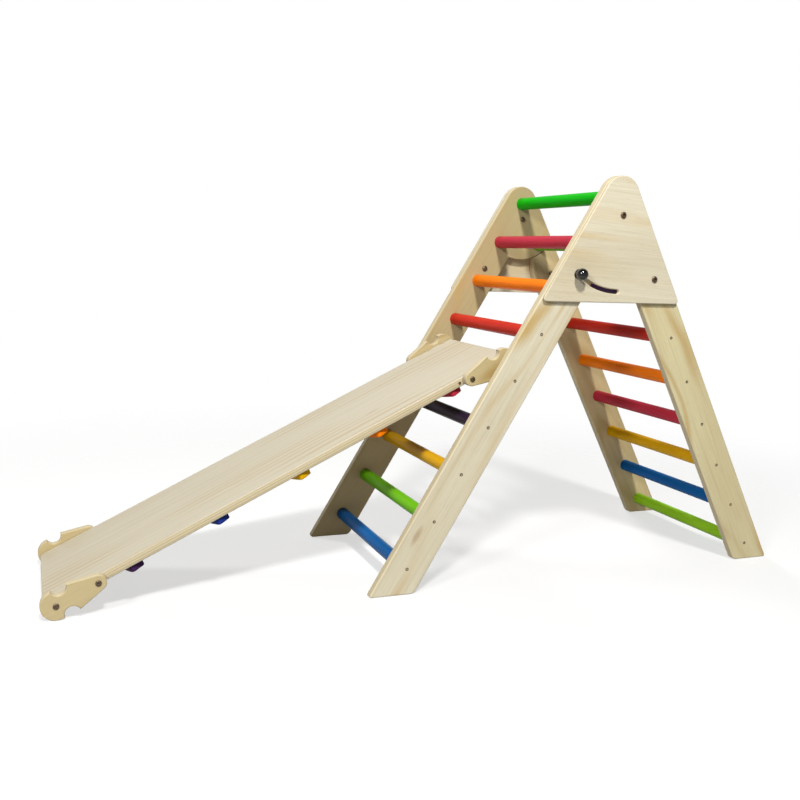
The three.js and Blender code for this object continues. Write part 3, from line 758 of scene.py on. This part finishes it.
STUD = 0.004
WASHER_EDGE = 0.0003
GLOSS_BLACK = Finish("gloss_black_resin", Metallic=0.0, Coat_Roughness=0.05, IOR=1.55)
GLOSS_BLACK.set("Coat Weight", 0.6)
resin_at = GLOSS_BLACK.node("ShaderNodeTexCoord", output="Object")
swirl = GLOSS_BLACK.noise(resin_at, 90.0, 3.0)
GLOSS_BLACK.set("Base Color", GLOSS_BLACK.mix(swirl, tone(12, 12, 14), tone(26, 26, 29)))
GLOSS_BLACK.set("Roughness", swirl * 0.10 + 0.10)
GLOSS_BLACK.bump(GLOSS_BLACK.noise(resin_at, 400.0, 1.0), 0.00003, 0.4)
ZINC = plated_steel("zinc_plated_steel", tone(128, 124, 118), 0.28)

for side, sign in SIDES.items():
    x, z, inner, outer, radius = ends(f"clamp_stud_{side}", sign)
    rows = [(inner, 0), (inner + 0.0001, radius * 0.45), (inner + 0.0007, radius * 0.78),
            (inner + 0.0019, radius * 0.95), (inner + 0.0032, radius), (inner + 0.0036, radius),
            (inner + 0.0036, STUD), (outer - 0.0008, STUD), (outer, STUD - 0.0008), (outer, 0)]
    stud = shape(f"clamp_stud_{side}_turned",
                 *turned((x, 0, z), (0, sign, 0), rows, 48), crease=35)
    settle(stud, BRONZE_PLATE, "front_ladder", "steel", f"clamp_stud_{side}")

    x, z, inner, outer, radius = ends(f"clamp_washer_{side}", sign)
    bore = STUD + 0.00035
    section = np.array([(inner, bore), (inner, radius - WASHER_EDGE), (inner + WASHER_EDGE, radius),
                        (outer - WASHER_EDGE, radius), (outer, radius - WASHER_EDGE),
                        (outer, bore)])
    angle = np.linspace(0, 2 * math.pi, 64, endpoint=False)
    ring = np.stack([
        x + section[:, 1, None] * np.cos(angle) * -sign,
        np.broadcast_to(section[:, :1] * sign, (6, 64)),
        z + section[:, 1, None] * np.sin(angle),
    ], -1)
    index = np.arange(6 * 64).reshape(6, 64)
    below, across = np.roll(index, -1, 0), np.roll(index, -1, 1)
    washer_faces = np.stack([index, across, np.roll(below, -1, 1), below], -1).reshape(-1, 4)
    washer = shape(f"clamp_washer_{side}_pressed", ring.reshape(-1, 3), washer_faces.tolist())
    settle(washer, ZINC, "front_ladder", "steel", f"clamp_washer_{side}")

    x, z, inner, outer, radius = ends(f"clamp_knob_{side}", sign)
    ball = outer - radius
    neck = 0.008
    start = math.asin(neck / radius)
    sweep = np.linspace(math.pi - start, 0.28, 20)
    rows = [(inner, 0), (inner, neck - 0.0006), (inner + 0.0006, neck)]
    rows += [(ball + radius * math.cos(a), radius * math.sin(a)) for a in sweep]
    rows += [(outer - 0.0002, radius * 0.16), (outer, radius * 0.05), (outer, 0)]
    knob = shape(f"clamp_knob_{side}_ball", *turned((x, 0, z), (0, sign, 0), rows, 64), crease=50)
    settle(knob, GLOSS_BLACK.material, f"knob_{side}", "knob", f"clamp_knob_{side}")


# ---- Slide board
# A board of 18 mm plywood, sanded smooth, with rounded edges. Its pale face grain runs the whole
# length of the slide.

BOARD_ROUND, THICK_PLY_LAYER = 0.0030, 0.0026
points, triangles = node_arrays("slide_board")
a, b, c = (points[triangles[:, k]] for k in range(3))
normals = np.cross(b - a, c - a)
widest = normals[np.linalg.norm(normals, axis=1).argmax()]
BOARD_OUT = Vector(widest * np.sign(widest[2])).normalized()
ALONG_BOARD = Vector((0, 1, 0)).cross(BOARD_OUT)
points, faces, flat = slab("slide_board", BOARD_OUT, BOARD_ROUND, BOARD_ROUND)
board = shape("slide_board_ply", points, faces, flat)
board_ply = timber(
    "slide_board_pine", middle("slide_board"), ALONG_BOARD, BOARD_OUT, 41.7,
    tone(194, 188, 170), tone(176, 158, 122), 46.0, 3.6, layer=THICK_PLY_LAYER, shade=0.06,
)
settle(board, board_ply, "slide", "timber", "slide_board")


# ---- Hook plates
# Four shaped plates of 18 mm plywood on the edges of the board, two at each end. Their notches sit
# on a rung from above, or from below when the board is turned over for climbing.

HOOK_ROUND = 0.0020
for end, seed in (("upper", 53.0), ("lower", 61.0)):
    for side, sign in SIDES.items():
        node = f"hook_plate_{end}_{side}"
        points, faces, flat = slab(node, (0, sign, 0), HOOK_ROUND, HOOK_ROUND)
        hook = shape(f"{node}_ply", points, faces, flat)
        hook_ply = timber(
            f"{node}_pine", middle(node), ALONG_BOARD, (0, 1, 0), seed + 2.9 * sign,
            tone(196, 180, 136), tone(168, 132, 70), 16.0, 5.0, layer=THICK_PLY_LAYER, shade=0.10,
        )
        settle(hook, hook_ply, "slide", "timber", node)


# ---- Hook screws
# Two heavy screws hold each hook plate to the board's edge, one in its lobe and one in its tail. A
# smaller one beyond each upper plate holds the end of the board's stiffening veneer.

HOOK_SCREW_HEAD, HOOK_SCREW_SHANK = 0.0026, 0.0032
for end in ("upper", "lower"):
    for part in ("lobe", "tail"):
        for side, sign in SIDES.items():
            node = f"{part}_screw_{end}_{side}"
            x, z, inner, outer, radius = ends(node, sign)
            seat, shank = outer - HOOK_SCREW_HEAD, HOOK_SCREW_SHANK
            rows = [(inner, 0), (inner + 0.004, shank * 0.75), (inner + 0.006, shank),
                    (seat, shank), (seat, radius - 0.0003), (seat + 0.0003, radius),
                    *dome(radius, seat + 0.0005, 0.0021), (outer - 0.00015, radius * 0.5),
                    (outer - 0.0002, radius * 0.48, 1.0), (outer - 0.0012, radius * 0.40, 1.0),
                    (outer - 0.0020, radius * 0.2, 1.0), (outer - 0.0021, 0)]
            screw = shape(f"{node}_turned",
                          *turned((x, 0, z), (0, sign, 0), rows, 48, cross_slot), crease=35)
            settle(screw, BRONZE_PLATE, "slide", "steel", node)

EDGE_SCREW_PAST, EDGE_SCREW_RADIUS, EDGE_SCREW_PROUD, EDGE_SCREW_SINK = 0.024, 0.0034, 0.0012, 0.004
for side, sign in SIDES.items():
    tail = middle(f"tail_screw_upper_{side}")
    low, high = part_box("slide_board")
    spot = tail - ALONG_BOARD * EDGE_SCREW_PAST
    one = turned((spot.x, sign * (high[1] + 0.0001), spot.z), (0, sign, 0),
                 screw_head(EDGE_SCREW_RADIUS, EDGE_SCREW_PROUD, EDGE_SCREW_SINK), 32, cross_slot)
    settle(shape(f"edge_screw_{side}", *one, crease=35), BRONZE_PLATE, "slide", "steel")


# ---- Climbing cleats
# Five plywood strips, each bent in the plane of the board into a low arc, rounded over, painted and
# screwed to the underside, so that the board becomes a climbing ramp when it is turned over.

CLEAT_ROUND, CLEAT_FOOT_ROUND = 0.0022, 0.0006
for number in range(1, 6):
    node = f"cleat_{number}"
    points, faces, flat = slab(node, -BOARD_OUT, CLEAT_ROUND, CLEAT_FOOT_ROUND)
    cleat = shape(f"{node}_strip", points, faces, flat)
    colour = RUNG_PAINTS[slot_of[node]]
    cleat_paint = paint(f"{node}_paint", colour, middle(node), (0, 1, 0), grain=0.6)
    settle(cleat, cleat_paint, "slide", slot_of[node], node)


# ---- Cleat screws
# Two countersunk screws through each cleat, about halfway out to its ends.

CLEAT_SCREW_OUT, CLEAT_SCREW_RADIUS = 0.075, 0.0042
for number in range(1, 6):
    points, _ = node_arrays(f"cleat_{number}")
    below = float((points @ np.array(-BOARD_OUT)).max())
    seats = []
    for sign in SIDES.values():
        near = points[abs(points[:, 1] - sign * CLEAT_SCREW_OUT) < 0.02] @ np.array(ALONG_BOARD)
        run = float(near.max() + near.min()) / 2
        seats.append(ALONG_BOARD * run - BOARD_OUT * below + Vector((0, sign * CLEAT_SCREW_OUT, 0)))
    head = screw_head(CLEAT_SCREW_RADIUS, SCREW_PROUD, SCREW_SINK)
    one = turned((0, 0, 0), -BOARD_OUT, head, 32, cross_slot)
    screws = shape(f"cleat_{number}_screws", *many(*one, seats), crease=35)
    settle(screws, BRONZE_PLATE, "slide", "steel")
